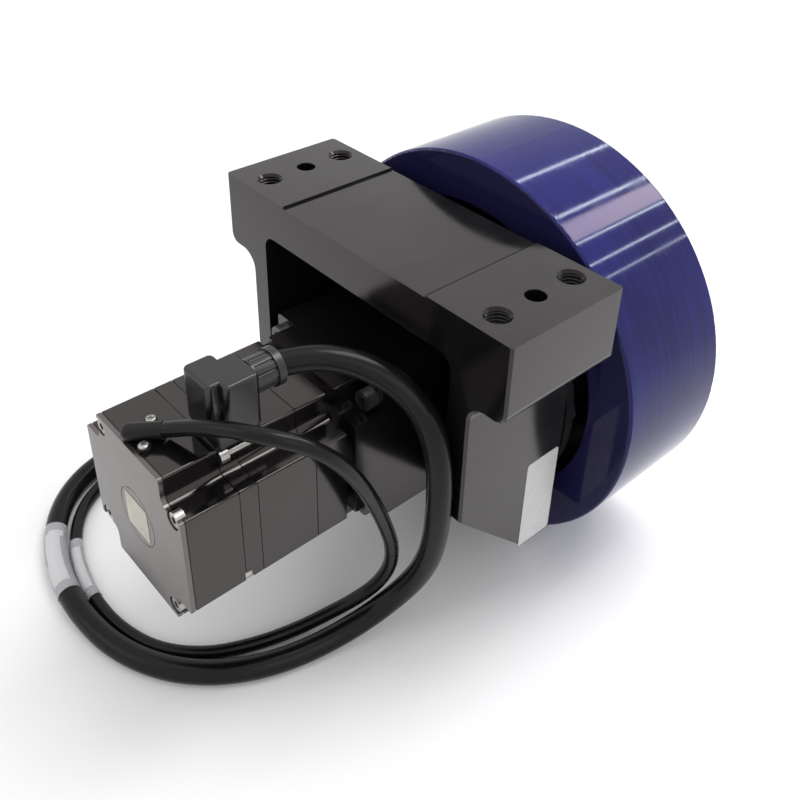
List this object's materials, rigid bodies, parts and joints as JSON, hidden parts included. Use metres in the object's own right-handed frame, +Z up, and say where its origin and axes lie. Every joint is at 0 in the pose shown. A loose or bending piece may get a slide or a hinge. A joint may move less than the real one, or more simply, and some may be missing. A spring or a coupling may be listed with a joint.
{
  "type": "geared servo motor drive wheel",
  "caption": "Powered drive wheel: square servo motor and planetary gearbox in a machined chassis bracket, with a wide polyurethane wheel, a power cable and an encoder cable.",
  "frame": {"origin": "centre of the chassis bolt pattern, on the bracket's mounting pads", "axes": "+Z up out of the mounting pads, +Y along the drive axis from the motor to the wheel, +X along the bracket"},
  "size_m": [0.269, 0.2921, 0.22],
  "materials": {
    "bracket_black": "black anodised, satin",
    "motor_black": "gloss black paint",
    "end_black": "black anodised, satin",
    "steel": "ground",
    "screw_steel": "zinc plated",
    "gear_steel": "case hardened",
    "core_steel": "laminated",
    "copper": "enamelled copper wire",
    "magnet": "nickel plated magnet",
    "circuit_board": "solder mask",
    "seal_rubber": "matt",
    "gearbox_black": "black, satin",
    "hub_black": "black anodised, satin",
    "tyre_blue": "turned polyurethane, glossy",
    "plastic_black": "moulded",
    "cable_black": "satin jacket"
  },
  "bodies": {
    "root": {"bracket": "bracket_black", "motor_rear_lid": "end_black", "encoder_cover": "motor_black", "rear_bell": "motor_black", "motor_housing": "motor_black", "motor_front_flange": "motor_black", "gearbox_adapter": "end_black", "lid_screws": "screw_steel", "bell_screws": "screw_steel", "flange_screws": "screw_steel", "adapter_screws": "end_black", "stator_core": "core_steel", "stator_windings": "copper", "motor_rear_bearing_outer": "steel", "motor_front_bearing_outer": "steel", "input_bearing_outer": "steel", "output_bearing_outer": "steel", "encoder_posts": "screw_steel", "encoder_board": "circuit_board", "ring_gear_housing": "gearbox_black", "output_bearing_case": "gearbox_black", "case_screws": "screw_steel", "gearbox_screws": "screw_steel", "input_seal": "seal_rubber", "output_seal": "seal_rubber", "power_socket": "plastic_black", "power_plug_housing": "plastic_black", "power_plug_screws": "screw_steel", "power_gland": "plastic_black", "encoder_gland": "plastic_black", "encoder_gland_screws": "screw_steel", "power_cable": "cable_black", "encoder_cable": "cable_black", "power_lead_plug": "plastic_black", "encoder_lead_plug": "plastic_black"},
    "rotor": {"rotor_shaft": "steel", "rotor_core": "core_steel", "rotor_magnets": "magnet", "encoder_disc": "end_black", "motor_rear_bearing_inner": "steel", "motor_front_bearing_inner": "steel", "shaft_coupling": "end_black", "sun_gear_shaft": "gear_steel", "input_bearing_inner": "steel"},
    "wheel": {"planet_carrier": "gear_steel", "planet_pins": "steel", "planet_pin_clips": "steel", "output_bearing_inner": "steel", "wheel_hub": "hub_black", "tyre": "tyre_blue", "hub_bolts": "screw_steel", "hub_cap": "hub_black"},
    "planet_1": {"planet_gear_1": "gear_steel"},
    "planet_2": {"planet_gear_2": "gear_steel"},
    "planet_3": {"planet_gear_3": "gear_steel"}
  },
  "joints": [
    {"name": "wheel_spin", "type": "hinge", "parent": "root", "child": "wheel", "pos_m": [0, 0, -0.0905], "axis": [0, 1, 0], "continuous": true},
    {"name": "rotor_spin", "type": "hinge", "parent": "root", "child": "rotor", "pos_m": [0, 0, -0.0905], "axis": [0, 1, 0], "continuous": true},
    {"name": "planet_1_spin", "type": "hinge", "parent": "wheel", "child": "planet_1", "pos_m": [0, 0, -0.06237], "axis": [0, 1, 0], "continuous": true},
    {"name": "planet_2_spin", "type": "hinge", "parent": "wheel", "child": "planet_2", "pos_m": [-0.02436, 0, -0.10456], "axis": [0, 1, 0], "continuous": true},
    {"name": "planet_3_spin", "type": "hinge", "parent": "wheel", "child": "planet_3", "pos_m": [0.02436, 0, -0.10456], "axis": [0, 1, 0], "continuous": true}
  ],
  "couplings": [
    {"joint": "rotor_spin", "follows": "wheel_spin", "ratio": 6},
    {"joint": "planet_1_spin", "follows": "wheel_spin", "ratio": -2.5},
    {"joint": "planet_2_spin", "follows": "wheel_spin", "ratio": -2.5},
    {"joint": "planet_3_spin", "follows": "wheel_spin", "ratio": -2.5}
  ]
}
